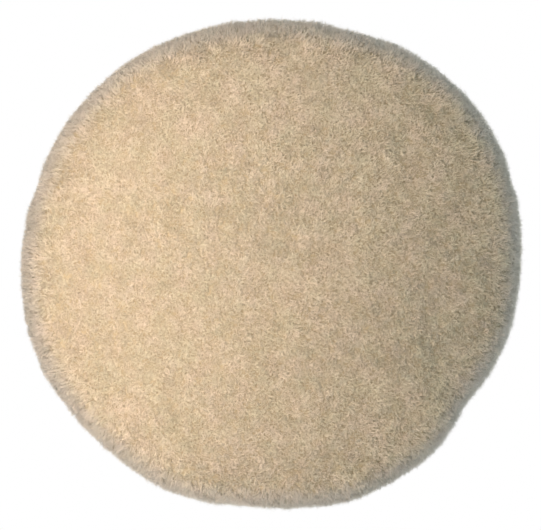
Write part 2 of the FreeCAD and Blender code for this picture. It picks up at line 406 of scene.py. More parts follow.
# %% The outline
OUTLINE_LOBES = (
    (36, 3.0, 17),
    (92, -2.5, 20),
    (150, -0.2, 14),
    (197, 1.5, 15),
    (248, 0.7, 8),
    (268, -1.3, 9),
    (295, 0.8, 14),
    (326, -2.8, 8),
)
LOBE_START = 40 * MM
LOBE_FULL = 84 * MM
print("the outline moves by", len(OUTLINE_LOBES), "lobes")


def smooth(value):
    """0 below 0, 1 above 1 and an even S between."""
    value = np.clip(value, 0, 1)
    return value * value * (3 - 2 * value)


def outline_swell(angle):
    """How far the outline stands outside the plain circle, in metres."""
    degrees = np.degrees(angle)
    swell = np.zeros_like(degrees)
    for middle, amount, width in OUTLINE_LOBES:
        away = (degrees - middle + 180) % 360 - 180
        swell += amount * MM * np.exp(-0.5 * (away / width) ** 2)
    return swell


# %% [markdown]
# ## Drawing the skin over the cushion
#
# A skin that is stretched over foam isn't flat: the foam pushes back, and the face crowns.
# A cloth simulation finds that shape. A coarse net in the wool's outer form is blown up
# gently with its back edge held, and how far each knot of the net moved is kept as a grid,
# so that the formula above can add it.

# %% The cloth simulation
NET_RINGS = 44
NET_SPOKES = 96
NET_PRESSURE = 0.8
NET_FRAMES = 20
NET_CAP = 2.5 * MM
HELD_RINGS = 6


def grid_faces(rings, spokes):
    """The four-sided faces of a net of rings, each one closed on itself."""
    ring = np.arange(rings - 1)[:, None] * spokes
    here = np.arange(spokes)[None, :]
    following = (here + 1) % spokes
    first = ring + here
    second = ring + following
    return np.stack([first, first + spokes, second + spokes, second], axis=-1).reshape(-1, 4)


def fan(hub, start, spokes, turned_over=False):
    """Triangles between a hub point and the ring of points that begins at start."""
    here = start + np.arange(spokes)
    following = start + (np.arange(spokes) + 1) % spokes
    pair = (following, here) if turned_over else (here, following)
    return np.stack([np.full(spokes, hub), *pair], axis=-1)


def section_grid(rings, spokes):
    """Distances along the section and angles of a net of rings, without its middle."""
    along = np.linspace(0, SECTION_LENGTH, rings + 1)[1:]
    grid = np.meshgrid(along, spokes_round(spokes), indexing="ij")
    return [part.ravel() for part in grid]


def plain_form(along, angle):
    """Points on the wool's form with no crown, and the outward directions there."""
    radius = np.interp(along, ALONG, RADIUS)
    depth = np.interp(along, ALONG, DEPTH)
    turn = np.interp(along, ALONG, TURN)
    share = smooth((radius - LOBE_START) / (LOBE_FULL - LOBE_START))
    radius = radius + share * outline_swell(angle)
    points = place_round(radius, depth, angle)
    outward = np.stack(
        [np.sin(turn) * np.cos(angle), -np.cos(turn), np.sin(turn) * np.sin(angle)], axis=-1
    )
    return points, outward


def new_mesh(name, points, faces):
    """A mesh from arrays: faces is a list of arrays, each with faces of one size."""
    mesh = bpy.data.meshes.new(name)
    mesh.vertices.add(len(points))
    mesh.vertices.foreach_set("co", np.asarray(points, np.float32).ravel())
    corners = np.concatenate([part.ravel() for part in faces]).astype(np.int32)
    sizes = np.concatenate([np.full(len(part), part.shape[1]) for part in faces])
    mesh.loops.add(len(corners))
    mesh.loops.foreach_set("vertex_index", corners)
    mesh.polygons.add(len(sizes))
    starts = np.concatenate([[0], np.cumsum(sizes)[:-1]]).astype(np.int32)
    mesh.polygons.foreach_set("loop_start", starts)
    mesh.update(calc_edges=True)
    return mesh


def new_object(name, mesh):
    piece = bpy.data.objects.new(name, mesh)
    bpy.context.scene.collection.objects.link(piece)
    return piece


def mesh_points(mesh):
    points = np.zeros(len(mesh.vertices) * 3, np.float32)
    mesh.vertices.foreach_get("co", points)
    return points.reshape(-1, 3).astype(float)


def crown_of_the_skin():
    """How far the form swells outward at each knot of the net, in metres."""
    points, outward = plain_form(*section_grid(NET_RINGS, NET_SPOKES))
    middle = np.array([[0, -WOOL_FRONT, 0]])
    hub = len(points)
    faces = [grid_faces(NET_RINGS, NET_SPOKES), fan(hub, 0, NET_SPOKES)]
    net = new_mesh("net", np.vstack([points, middle]), faces)
    piece = new_object("net", net)
    held = piece.vertex_groups.new(name="held")
    first_held = (NET_RINGS - HELD_RINGS) * NET_SPOKES
    held.add(list(range(first_held, hub)), 1.0, "REPLACE")
    cloth = piece.modifiers.new("cloth", "CLOTH")
    cloth.settings.use_pressure = True
    cloth.settings.uniform_pressure_force = NET_PRESSURE
    cloth.settings.effector_weights.gravity = 0
    cloth.settings.vertex_group_mass = "held"
    for frame_number in range(1, NET_FRAMES + 1):
        bpy.context.scene.frame_set(frame_number)
    shown = piece.evaluated_get(bpy.context.evaluated_depsgraph_get())
    moved = mesh_points(shown.data)[:hub] - points
    bpy.data.objects.remove(piece)
    bpy.data.meshes.remove(net)
    bpy.context.scene.frame_set(1)
    swell = np.clip((moved * outward).sum(axis=1), -NET_CAP, NET_CAP)
    return swell.reshape(NET_RINGS, NET_SPOKES)


CROWN = crown_of_the_skin()
print("crown, mm:", [round(float(height) / MM, 2) for height in CROWN.mean(axis=1)[::4]])

# %% [markdown]
# The form with its crown, and with the slow hills and hollows that a fleece has, where one
# patch of wool stands a little longer than the next. The hills are a few sines that cross at
# odd angles, which is cheap and never repeats within the pad.

# %% The finished form
HALO_SINK = 0.75 * MM
HILLS = ((61, 0.9, 0.30), (97, 2.3, 0.24), (143, 4.1, 0.18), (211, 5.2, 0.14), (301, 0.4, 0.09))
HILL_LONG, HILL_SHORT, HILL_BEND = 2.7, 1.9, 1.5
RIPPLE_TURNS = (0.6, 1.5)
RIPPLE_SHIFT = 7
TURN_AWAY, TURN_SPREAD = 0.5, 0.6


def crown_at(along, angle):
    """The crown between the knots of the net."""
    ring = np.clip(along / SECTION_LENGTH * NET_RINGS - 1, 0, NET_RINGS - 1.001)
    spoke = (angle / FULL_TURN * NET_SPOKES) % NET_SPOKES
    low_ring = ring.astype(int)
    low_spoke = spoke.astype(int)
    next_spoke = (low_spoke + 1) % NET_SPOKES
    across = ring - low_ring
    about = spoke - low_spoke
    inner = CROWN[low_ring, low_spoke] * (1 - about) + CROWN[low_ring, next_spoke] * about
    outer = CROWN[low_ring + 1, low_spoke] * (1 - about) + CROWN[low_ring + 1, next_spoke] * about
    return inner * (1 - across) + outer * across


def hills(points):
    """Slow rises and falls of the wool, in metres."""
    height = np.zeros(len(points))
    for turns, way, amount in HILLS:
        first = points @ (turns * HILL_LONG * np.array([math.cos(way), 0.8, math.sin(way)]))
        second = points @ (turns * HILL_SHORT * np.array([-math.sin(way), 0.6, math.cos(way)]))
        height += amount * MM * np.sin(first + HILL_BEND * np.sin(second + way))
    return height


def ripple(first, second, seed, count=5):
    """Noise from -1 to 1 out of sines that cross, for two coordinates in radians."""
    draw = np.random.default_rng(seed)
    total = np.zeros_like(first)
    for _ in range(count):
        way = draw.uniform(0, FULL_TURN)
        turns = draw.uniform(*RIPPLE_TURNS)
        wave = first * math.cos(way) + second * math.sin(way)
        total += np.sin(turns * wave + RIPPLE_SHIFT * way)
    return total / count


def turned_share(along):
    """0 on the face, and 1 where the rim has turned away."""
    return smooth((np.interp(along, ALONG, TURN) - TURN_AWAY) / TURN_SPREAD)


def wool_form(along, angle):
    """Points on the finished form, and the outward directions there."""
    points, outward = plain_form(along, angle)
    lift = crown_at(along, angle) + hills(points) - HALO_SINK * turned_share(along)
    return points + outward * lift[:, None], outward


print("hills of up to", sum(amount for _, _, amount in HILLS), "mm on the form")


# %% [markdown]
# ## The bed of the wool
#
# Between the tips one looks down into deeper wool. A bed under the outer form stops the eye
# there; its dark colour is partly the browner root wool and partly painted shade deep in the
# pile. It follows the same formula and is rough with small tufts. Its underside follows the
# skin's outer face, from the wool's back edge round to the middle, so it is a closed form.

# %% The bed
BED_RINGS = 150
BED_SPOKES = 400
BED_SINK = 1.6 * MM
TUFT_HEIGHT = 0.2 * MM
TUFTS = ((1500, 0.3), (1900, 1.4), (2300, 2.6), (3100, 3.9))
SKIN_SHOULDER = 9.4 * MM
SKIN_HEEL = 2.0 * MM
SKIN_HUB = 2 * MM


def tufts(points):
    """Small lumps about two millimetres across, in metres."""
    height = np.zeros(len(points))
    for turns, way in TUFTS:
        swing = points @ (turns * np.array([math.cos(way), 0.7, math.sin(way)]))
        cross = points @ (turns * 0.8 * np.array([-math.sin(way), 0.5, math.cos(way)]))
        height += np.sin(swing + 1.8 * np.sin(cross)) / len(TUFTS)
    return TUFT_HEIGHT * height


def arc(centre, radius, start, end, steps):
    """Points of an arc: turn 0 is away from the axis, and a quarter turn is towards the wool."""
    return [
        (centre[0] + radius * math.cos(turn), centre[1] + radius * math.sin(turn))
        for turn in np.linspace(start, end, steps)
    ]


def skin_section():
    """(radius, depth) points from the wool's back edge over the skin to the middle."""
    heel = (SKIN_RADIUS - SKIN_HEEL, SKIN_BACK + SKIN_HEEL)
    shoulder = (SKIN_RADIUS - SKIN_SHOULDER, SKIN_FRONT - SKIN_SHOULDER)
    points = [(WOOL_INNER, SKIN_BACK)]
    points += arc(heel, SKIN_HEEL, -QUARTER, 0, 5)
    points += arc(shoulder, SKIN_SHOULDER, 0, QUARTER, 9)
    return points + [(SKIN_HUB, SKIN_FRONT)]


def make_bed():
    points, outward = wool_form(*section_grid(BED_RINGS, BED_SPOKES))
    points = points + outward * (tufts(points) - BED_SINK)[:, None]
    angle = spokes_round(BED_SPOKES)
    under = [place_round(radius, depth, angle) for radius, depth in skin_section()]
    rows = BED_RINGS + len(under)
    front_hub = np.array([[0, -(WOOL_FRONT - BED_SINK), 0]])
    back_hub = np.array([[0, -SKIN_FRONT, 0]])
    everything = np.vstack([points, *under, front_hub, back_hub])
    hub = rows * BED_SPOKES
    front_fan = fan(hub, 0, BED_SPOKES)
    back_fan = fan(hub + 1, hub - BED_SPOKES, BED_SPOKES, turned_over=True)
    mesh = new_mesh("wool_bed", everything, [grid_faces(rows, BED_SPOKES), front_fan, back_fan])
    mesh.shade_smooth()
    return new_object("wool_bed", mesh)


wool_bed = make_bed()
print("bed faces:", len(wool_bed.data.polygons))

# %% [markdown]
# ## The locks
#
# Wool doesn't grow as single even hairs. Fibres stand together in locks a couple of
# millimetres across: those of one lock lean the same way, share their crimp, and draw
# together at the tip. Particle hair would show this in a render, but it isn't a mesh, and
# the finished model has to be one. So each fibre is a narrow tapering blade of four lengths,
# bent along a wavy line, and all of them are worked out at once as arrays.
#
# The locks are set out on a sunflower spiral, which covers any round form evenly: the angle
# steps by the golden angle, and the distance from the middle grows so that each lock gets the
# same area.

# %% Where the locks stand
RANDOM = np.random.default_rng(7)
LOCK_AREA = 4.0 * MM * MM
LOCK_STRAY = 0.4 * MM
GOLDEN_ANGLE = math.pi * (3 - math.sqrt(5))


def lock_places():
    """Distance along the section and angle of each lock."""
    ring_area = FULL_TURN * RADIUS * (ALONG[1] - ALONG[0])
    covered = np.cumsum(ring_area)
    count = int(covered[-1] / LOCK_AREA)
    number = np.arange(count)
    along = np.interp((number + 0.5) * LOCK_AREA, covered, ALONG)
    stray = RANDOM.normal(0, LOCK_STRAY, count) / np.maximum(along, LOCK_STRAY)
    angle = number * GOLDEN_ANGLE + stray
    along = np.clip(along + RANDOM.normal(0, LOCK_STRAY, count), LOCK_STRAY, SECTION_LENGTH)
    return along, angle % FULL_TURN


LOCK_ALONG, LOCK_ROUND = lock_places()
print("locks:", len(LOCK_ALONG))

# %% [markdown]
# Each lock leans. On the face the lean wanders slowly, as the nap of a brushed fleece does,
# with a good deal of its own in every lock. Towards the rim it turns outward, where the
# pile fans over the edge.

# %% How the locks lean
LOCK_SPREAD = 1.7 * MM
BLADE_LENGTHS = 4
ROOT_SINK = 1.7 * MM
TIP_RISE = 0.10 * MM
LEAN = 1.3 * MM
SWING = 0.9
CRIMP = 0.22 * MM
CRIMP_WAVES = 1.0
BLADE_WIDTH = 0.16 * MM
HALO_SHARE = 0.25
HALO_RISE = 0.9 * MM
HALO_WIDTH = 0.5
PARTING_TURNS = 620
PARTING_WIDTH = 0.09
PARTING_DROP = 0.35 * MM
# How much painted shade darkens the fibres in a parting.
PARTING_PAINTED_SHADE = 0.65
TIP_WIDTH = 0.35
BLADE_TILT = 0.45
NAP_STRAY = 0.9
RISE_STRAY = 0.28 * MM
LOCK_RISE_STRAY = 0.08 * MM
LOCK_LEANS = (0.45, 1.35)
PHASE_STRAY = 0.7
GATHER = 0.15
RISE_BEND = 1.7
LEAN_BEND = 1.5
BOB = 0.35
BOB_RATE = 1.3
LOCK_TONE = 0.25
OWN_SPREAD = (0.7, 1.3)
FAN_START, FAN_SPAN = 74 * MM, 14 * MM


def unit(vectors):
    return vectors / np.maximum(np.linalg.norm(vectors, axis=-1, keepdims=True), 1e-12)


def nap_angle(points):
    """The slow wander of the nap on the face, as an angle."""
    across, up = points[:, 0], points[:, 2]
    slow = np.sin(38 * across + 2.1) + np.sin(47 * up - 27 * across) + np.sin(61 * up + 0.7)
    return 1.1 * slow + 0.8 * np.sin(160 * across + 3 * np.sin(130 * up))


def partings(points):
    """1 along the wandering lines where tufts part, where the fibres sink and painted shade darkens
    them, and 0 elsewhere.
    """
    across, up = points[:, 0], points[:, 2]
    wander = 0.8 * ripple(260 * across, 260 * up, 41)
    line = ripple(PARTING_TURNS * across + wander, 1.7 * PARTING_TURNS * up + 2 * wander, 42, 7)
    place = smooth(0.5 + 2.2 * ripple(420 * across, 420 * up, 43))
    return np.exp(-((line / PARTING_WIDTH) ** 2)) * place


def lock_frames():
    """Each lock's middle, outward direction, the way it leans, and the way across."""
    points, outward = wool_form(LOCK_ALONG, LOCK_ROUND)
    count = len(points)
    radial, around = away_at(LOCK_ROUND), round_at(LOCK_ROUND)
    downhill = unit(np.cross(around, outward))
    downhill *= np.sign((downhill * radial).sum(-1, keepdims=True) + 1e-9)
    nap = nap_angle(points) - LOCK_ROUND + RANDOM.normal(0, NAP_STRAY, count)
    own = np.cos(nap)[:, None] * downhill + np.sin(nap)[:, None] * around
    radius = np.hypot(points[:, 0], points[:, 2])
    rimward = smooth((radius - FAN_START) / FAN_SPAN)[:, None]
    lean = unit(own * (1 - 0.7 * rimward) + downhill * rimward)
    across = unit(np.cross(outward, lean))
    return points, outward, lean, across


LOCK_POINTS, LOCK_OUT, LOCK_LEAN, LOCK_ACROSS = lock_frames()
print("locks over the fan of the rim:", int((LOCK_ALONG > FAN_START).sum()))

# %% [markdown]
# A fibre starts at its root in the bed, rises, and lies over towards the lean, waving from
# side to side on the way. Its blade is turned to face outward with a little random tilt, so
# it is seen from every side.

# %% The fibres


def rim_shade_share(locks):
    """1 on the front of the rolled rim, which painted shade greys, and 0 on the face, the side and
    the back.
    """
    turn = np.interp(LOCK_ALONG[locks], ALONG, TURN)
    return smooth((turn - 0.25) / 0.5) * (1 - smooth((turn - 1.35) / 0.4))


def fibre_lines(locks, fibres):
    """Points along the fibres of these locks, and what varies from fibre to fibre."""
    count = len(locks) * fibres
    own = np.repeat(locks, fibres)
    draw = np.random.default_rng(int(locks[0]) + 11)
    lock_draw = np.random.default_rng(int(locks[0]) + 12)
    far = LOCK_SPREAD * np.sqrt(draw.uniform(0, 1, count))
    about = draw.uniform(0, FULL_TURN, count)
    first = (far * np.cos(about))[:, None, None]
    second = (far * np.sin(about))[:, None, None]
    step = np.linspace(0, 1, BLADE_LENGTHS + 1)[None, :, None]
    lock_rise = np.repeat(lock_draw.normal(0, LOCK_RISE_STRAY, len(locks)), fibres)
    lock_lean = np.repeat(lock_draw.uniform(*LOCK_LEANS, len(locks)), fibres)
    phase = np.repeat(lock_draw.uniform(0, FULL_TURN, len(locks)), fibres)
    phase = (phase + draw.normal(0, PHASE_STRAY, count))[:, None, None]
    rise = ROOT_SINK + TIP_RISE + lock_rise + draw.normal(0, RISE_STRAY, count)
    rise = rise[:, None, None]
    halo = (draw.uniform(0, 1, count) < HALO_SHARE) * turned_share(LOCK_ALONG[own])
    rise = rise + (halo * draw.uniform(0.2, 1, count) * HALO_RISE)[:, None, None]
    root = LOCK_POINTS[own] + LOCK_LEAN[own] * first[:, 0] + LOCK_ACROSS[own] * second[:, 0]
    parting = partings(root)
    rise = rise - PARTING_DROP * parting[:, None, None]
    lean = (LEAN * lock_lean * draw.uniform(*OWN_SPREAD, count))[:, None, None]
    waves = 2 * math.pi * CRIMP_WAVES * draw.uniform(0.8, 1.25, count)[:, None, None]
    gather = 1 - GATHER * step
    height = -ROOT_SINK + rise * (1 - (1 - step) ** RISE_BEND)
    forward = lean * step**LEAN_BEND
    sideways = CRIMP * draw.uniform(0.6, 1.4, count)[:, None, None] * np.sin(waves * step + phase)
    bob = BOB * CRIMP * np.cos(waves * step * BOB_RATE + phase)
    middle = LOCK_POINTS[own][:, None, :]
    out = LOCK_OUT[own][:, None, :]
    swing = draw.normal(0, SWING, count)[:, None]
    lean_way = LOCK_LEAN[own] * np.cos(swing) + LOCK_ACROSS[own] * np.sin(swing)
    across = LOCK_ACROSS[own] * np.cos(swing) - LOCK_LEAN[own] * np.sin(swing)
    lean_way, across = lean_way[:, None, :], across[:, None, :]
    lines = middle + out * (height + bob)
    lines = lines + lean_way * (first * gather + forward)
    lines = lines + across * (second * gather + sideways)
    tilt = draw.normal(0, BLADE_TILT, count)
    facing = unit(LOCK_OUT[own] + LOCK_ACROSS[own] * tilt[:, None])
    tone = np.repeat(lock_draw.uniform(0, 1, len(locks)), fibres)
    tone = LOCK_TONE * tone + (1 - LOCK_TONE) * draw.uniform(0, 1, count)
    # Painted shade: fibres in a parting are darkened, where one looks deeper into the pile.
    tone = tone * (1 - PARTING_PAINTED_SHADE * parting)
    width = BLADE_WIDTH * draw.uniform(*OWN_SPREAD, count) * np.where(halo > 0.3, HALO_WIDTH, 1)
    return lines, facing, tone, width, own


def blades(lines, facing, width):
    """Blade points and faces: two points at each step of the line, and one at the tip."""
    count, steps, _ = lines.shape
    forward = unit(np.gradient(lines, axis=1))
    side = unit(np.cross(forward, facing[:, None, :]))
    taper = np.interp(np.arange(steps - 1), [0, 1, steps - 1], [0.6, 1.0, TIP_WIDTH])
    half = 0.5 * width[:, None, None] * taper[None, :, None]
    left = lines[:, :-1] - side[:, :-1] * half
    right = lines[:, :-1] + side[:, :-1] * half
    pairs = np.stack([left, right], axis=2).reshape(count, -1, 3)
    points = np.concatenate([pairs, lines[:, -1:]], axis=1)
    each = points.shape[1]
    start = (np.arange(count) * each)[:, None]
    quads = []
    for step in range(steps - 2):
        low = 2 * step
        quads.append(start + np.array([[low, low + 1, low + 3, low + 2]]))
    tips = start + np.array([[each - 3, each - 2, each - 1]])
    return points.reshape(-1, 3), [np.concatenate(quads), tips], each


def give_numbers(mesh, name, values):
    attribute = mesh.attributes.new(name, "FLOAT", "POINT")
    attribute.data.foreach_set("value", values.astype(np.float32))


def give_map(mesh, flat):
    """A flat map on the mesh, named OFBake: one flat place for every point."""
    layer = mesh.uv_layers.new(name="OFBake")
    corners = np.zeros(len(mesh.loops), np.int32)
    mesh.loops.foreach_get("vertex_index", corners)
    low, high = flat.min(axis=0), flat.max(axis=0)
    flat = 0.01 + 0.98 * (flat - low) / (high - low)
    layer.data.foreach_set("uv", flat[corners].astype(np.float32).ravel())


def make_locks(name, locks, fibres):
    """One piece that holds all the fibres of these locks."""
    lines, facing, tone, width, own = fibre_lines(locks, fibres)
    points, faces, each = blades(lines, facing, width)
    mesh = new_mesh(name, points, faces)
    mesh.shade_smooth()
    up = np.append(np.repeat(np.linspace(0, 1, BLADE_LENGTHS + 1)[:-1], 2), 1.0)
    give_numbers(mesh, "tip", np.tile(up, len(lines)))
    give_numbers(mesh, "tone", np.repeat(tone, each))
    # The rim number says where painted shade greys the front of the rolled rim.
    give_numbers(mesh, "rim", np.repeat(rim_shade_share(own), each))
    along = np.repeat(LOCK_ALONG[own], each)
    angle = np.repeat(LOCK_ROUND[own], each)
    offset = points - np.repeat(LOCK_POINTS[own], each, axis=0)
    first = (offset * np.repeat(LOCK_LEAN[own], each, axis=0)).sum(-1)
    second = (offset * np.repeat(LOCK_ACROSS[own], each, axis=0)).sum(-1)
    flat = np.stack([along * np.cos(angle) + first, along * np.sin(angle) + second], -1)
    give_map(mesh, flat)
    print(name, "has", len(lines), "fibres")
    return new_object(name, mesh)


# %% [markdown]
# The face is one group of pieces, and the rim with the side and the back is another. Each is
# cut into slices like a cake, so that no single mesh grows too heavy to handle.

# %% Growing the wool
FACE_END = 90 * MM
ZONES = (
    ("wool_face", 0, FACE_END, 9, 34),
    ("wool_rim", FACE_END, SECTION_LENGTH + MM, 6, 26),
)


def grow_wool():
    pieces = []
    for name, low, high, slices, fibres in ZONES:
        in_zone = (LOCK_ALONG >= low) & (LOCK_ALONG < high)
        for index in range(slices):
            share = LOCK_ROUND / FULL_TURN * slices
            locks = np.nonzero(in_zone & (share.astype(int) == index))[0]
            pieces.append(make_locks(f"{name}_{index + 1}", locks, fibres))
    return pieces


wool_pieces = grow_wool()
print("wool pieces:", len(wool_pieces))

# %% [markdown]
# ## The finish of the wool
#
# Undyed wool is a warm cream at the tips and browner towards the skin, where dust and
# lanolin stay; that darker root also stands in for painted shade deep in the pile. From lock
# to lock it drifts a little pinker or greener, and the front of the rim is greyed with painted
# shade. Wool scatters light inside each fibre, which a soft sheen stands in for.

# %% Wool materials
TIP_CREAM = (0.48, 0.46, 0.35)
TIP_PALE = (0.99, 0.97, 0.88)
# Partly the root wool's own browner colour, and partly painted shade deep in the pile.
ROOT_BROWN_AND_SHADE = (0.46, 0.41, 0.29)
# Painted shade: the front of the rolled rim is greyed towards this colour, by this share.
RIM_SHADE_GREY = (0.45, 0.455, 0.44)
RIM_SHADE_SHARE = 0.65
TINT_SHARE = 0.4
WOOL_PINK = (0.86, 0.75, 0.65)
WOOL_GREEN = (0.68, 0.69, 0.50)
# The bed's dark colours: the browner root wool, and painted shade deep in the pile.
BED_SHADE_DARK = (0.36, 0.32, 0.22)
BED_SHADE_LIGHT = (0.52, 0.47, 0.35)
BED_GREEN = (0.44, 0.42, 0.29)
DRIFT_STOPS = ((0.35, (0, 0, 0)), (0.65, (1, 1, 1)))


def wool_finish():
    finish = Finish("sheared_wool")
    tone = finish.attribute("tone")
    tip = finish.attribute("tip")
    cream = finish.mix(tone, TIP_CREAM, TIP_PALE)
    drift = finish.noise(140, detail=3.0)
    drift = finish.ramp(drift, DRIFT_STOPS)
    tint = finish.mix(drift, WOOL_PINK, WOOL_GREEN)
    cream = finish.mix(TINT_SHARE, cream, tint)
    # Darker towards the root: browner root wool and painted shade deep in the pile.
    colour = finish.mix(tip**0.7, ROOT_BROWN_AND_SHADE, cream)
    # Painted shade greys the front of the rolled rim.
    colour = finish.mix(finish.attribute("rim") * RIM_SHADE_SHARE, colour, RIM_SHADE_GREY)
    inputs = {
        "Base Color": colour,
        "Roughness": 0.5,
        "Specular IOR Level": 0.5,
        "Sheen Weight": 0.25,
        "Sheen Roughness": 0.5,
    }
    return finish.surface(inputs)


def bed_finish():
    finish = Finish("deep_wool")
    fine = finish.noise(2600, detail=3.0)
    slow = finish.noise(180, detail=2.0)
    # Painted shade deep in the pile, with the root wool's browner colour.
    colour = finish.mix(fine, BED_SHADE_DARK, BED_SHADE_LIGHT)
    colour = finish.mix(slow * 0.4, colour, BED_GREEN)
    relief = finish.bump(finish.noise(5200, detail=4.0, roughness=0.7), 0.12 * MM)
    return finish.surface({"Base Color": colour, "Roughness": 0.9, "Normal": relief})


wool_material = wool_finish()
for piece in wool_pieces:
    piece.data.materials.append(wool_material)
wool_bed.data.materials.append(bed_finish())
print("wool pieces with a finish:", len(wool_pieces) + 1)

# %% [markdown]
# ## The back of the pad
#
# Nothing of the back can be seen from the front. It is made the way that such pads are: a
# disc of loop fabric, oversewn to the turned-in skin, round a moulded ring that centres the
# pad on its backing plate. Round parts come from a section that is turned about the axis.
# A node graph could displace a plain disc at render time, but only real points reach the
# exported model, so the lumps, ribs and pores are moved points.
#
# The knitted ground comes first. It is thin and nearly flat. Its bare edge, the selvedge,
# shows between the loops and the stitches, with ribs that run out to the cut edge and a
# slight waver there.

# %% Turning a section, and the knitted ground


def turned(name, section, spokes, relief=None):
    """A ring-shaped solid from a closed (radius, depth) section, in metres.

    relief takes radius, depth and angle as arrays, and gives how far to move each point
    outward from the axis and how far towards the wool.
    """
    radius, depth = np.array(section).T
    angle = spokes_round(spokes)
    radius = np.repeat(radius[:, None], spokes, axis=1)
    depth = np.repeat(depth[:, None], spokes, axis=1)
    angle = np.repeat(angle[None, :], len(radius), axis=0)
    if relief:
        outward, deeper = relief(radius, depth, angle)
        radius = radius + outward
        depth = depth + deeper
    points = place_round(radius, depth, angle)
    faces = grid_faces(len(section) + 1, spokes) % (len(section) * spokes)
    mesh = new_mesh(name, points.reshape(-1, 3), [faces])
    mesh.shade_smooth()
    return new_object(name, mesh)


def stretch(start, end, steps):
    """(radius, depth) points from start up to end, in steps, without the end."""
    return [tuple(point) for point in np.linspace(start, end, steps, endpoint=False)]


GROUND_TOP = -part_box("loop_ground")[1].y
GROUND_UNDER = -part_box("loop_ground")[0].y
WELL_RADIUS = 12.65 * MM
GROUND_SPOKES = 2240
LOOP_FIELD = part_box("loop_pile")[1].x
RIB_HEIGHT = 0.06 * MM
RIBS = 560
EDGE_WAVER = 0.12 * MM


def ground_relief(radius, depth, angle):
    shown = (depth < (GROUND_TOP + GROUND_UNDER) / 2) * smooth((radius - LOOP_FIELD) / MM)
    rib = shown * RIB_HEIGHT * (np.sin(RIBS * angle) + 0.6 * ripple(900 * radius, 60 * angle, 5))
    edge = smooth((radius - LOOP_FIELD - MM) / (2 * MM))
    return edge * EDGE_WAVER * ripple(0 * angle, 55 * angle, 6), -rib * (1 - edge * 0.5)


def make_ground():
    inner, rim = WELL_RADIUS, LOOP_RADIUS
    section = stretch((inner, GROUND_UNDER), (rim, GROUND_UNDER), 12)
    section += stretch((rim, GROUND_UNDER), (rim, GROUND_TOP), 2)
    section += stretch((rim, GROUND_TOP), (LOOP_FIELD - MM, GROUND_TOP), 14)
    section += stretch((LOOP_FIELD - MM, GROUND_TOP), (inner, GROUND_TOP), 12)
    section += [(inner, GROUND_TOP)]
    return turned("loop_ground_knit", section, GROUND_SPOKES, ground_relief)


loop_ground = make_ground()
print("ground faces:", len(loop_ground.data.polygons))

# %% [markdown]
# The loops stand on the ground in their thousands. Each loop is a narrow ribbon bent into an
# arch, brushed over a little. Underneath them the pile is a tangle, which a lumpy mat stands in
# for, darkened with painted shade.

# %% The loop pile
MAT_DEPTH = 0.95 * MM
MAT_LUMPS = 0.2 * MM
MAT_INSET = 0.3 * MM
LOOP_AREA = 0.5 * MM * MM
LOOP_SPAN = 1.1 * MM
LOOP_HEIGHT = 1.15 * MM
LOOP_WIDTH = 0.15 * MM
LOOP_STEPS = 6
LOOP_LEAN = 0.45 * MM


def mat_relief(radius, depth, angle):
    top = depth < MAT_DEPTH + 0.1 * MM
    across, up = radius * np.cos(angle), radius * np.sin(angle)
    lumps = ripple(3000 * across, 3000 * up, 8) + 0.6 * ripple(6500 * across, 6500 * up, 9)
    return 0 * radius, top * MAT_LUMPS * lumps


def make_mat():
    inner, rim = WELL_RADIUS, LOOP_FIELD - MAT_INSET
    top = MAT_DEPTH
    section = stretch((inner, GROUND_TOP), (rim, GROUND_TOP), 4)
    section += stretch((rim, GROUND_TOP), (rim, top), 2)
    section += stretch((rim, top), (inner, top), 130)
    section += [(inner, top)]
    return turned("loop_mat", section, 560, mat_relief)


def ribbons(lines, side, width):
    """Two points at each step of every line, and the faces between them."""
    count, steps, _ = lines.shape
    half = 0.5 * side * width[:, None, None]
    points = np.stack([lines - half, lines + half], axis=2).reshape(-1, 3)
    start = (np.arange(count) * steps * 2)[:, None]
    quads = [start + np.array([[2 * k, 2 * k + 1, 2 * k + 3, 2 * k + 2]]) for k in range(steps - 1)]
    return points, [np.concatenate(quads)]


def loop_lines():
    """Arched lines all over the loop field, each with the direction across its ribbon."""
    draw = np.random.default_rng(21)
    inner = WELL_RADIUS + 0.5 * MM
    outer = LOOP_FIELD - 0.5 * MM
    count = int(math.pi * (outer**2 - inner**2) / LOOP_AREA)
    number = np.arange(count)
    radius = np.sqrt(inner**2 + (number + 0.5) * LOOP_AREA / math.pi)
    angle = number * GOLDEN_ANGLE + draw.normal(0, 0.2 * MM, count) / radius
    way = draw.normal(math.pi / 2, 0.8, count)
    step = np.linspace(0, math.pi, LOOP_STEPS)[None, :]
    span = LOOP_SPAN * draw.uniform(0.6, 1.4, count)[:, None] / 2 * np.cos(step)
    height = LOOP_HEIGHT * draw.uniform(0.7, 1.0, count)[:, None] * np.sin(step)
    lean = LOOP_LEAN * draw.normal(0.5, 0.7, count)[:, None] * np.sin(step) ** 2
    forward, across = away_at(way)[:, None, :], round_at(way)[:, None, :]
    foot = place_round(radius, 0, angle)
    lines = foot[:, None, :] + forward * span[..., None] + across * lean[..., None]
    lines[..., 1] += height - GROUND_TOP + 0.2 * MM
    width = LOOP_WIDTH * draw.uniform(0.7, 1.4, count)
    return lines, across, width, foot


def flat_place(points):
    """A place on the flat map for points on the back: as seen from behind."""
    return points[:, [0, 2]] + np.stack([0 * points[:, 1], 0.05 * points[:, 1]], -1)


def make_loops():
    lines, across, width, foot = loop_lines()
    pieces = []
    for index, chosen in enumerate((foot[:, 0] < 0, foot[:, 0] >= 0), start=1):
        points, faces = ribbons(lines[chosen], across[chosen], width[chosen])
        mesh = new_mesh(f"loops_{index}", points, faces)
        mesh.shade_smooth()
        give_map(mesh, flat_place(points))
        pieces.append(new_object(f"loops_{index}", mesh))
    print("loops:", len(lines))
    return pieces


loop_mat = make_mat()
loop_pieces = make_loops()

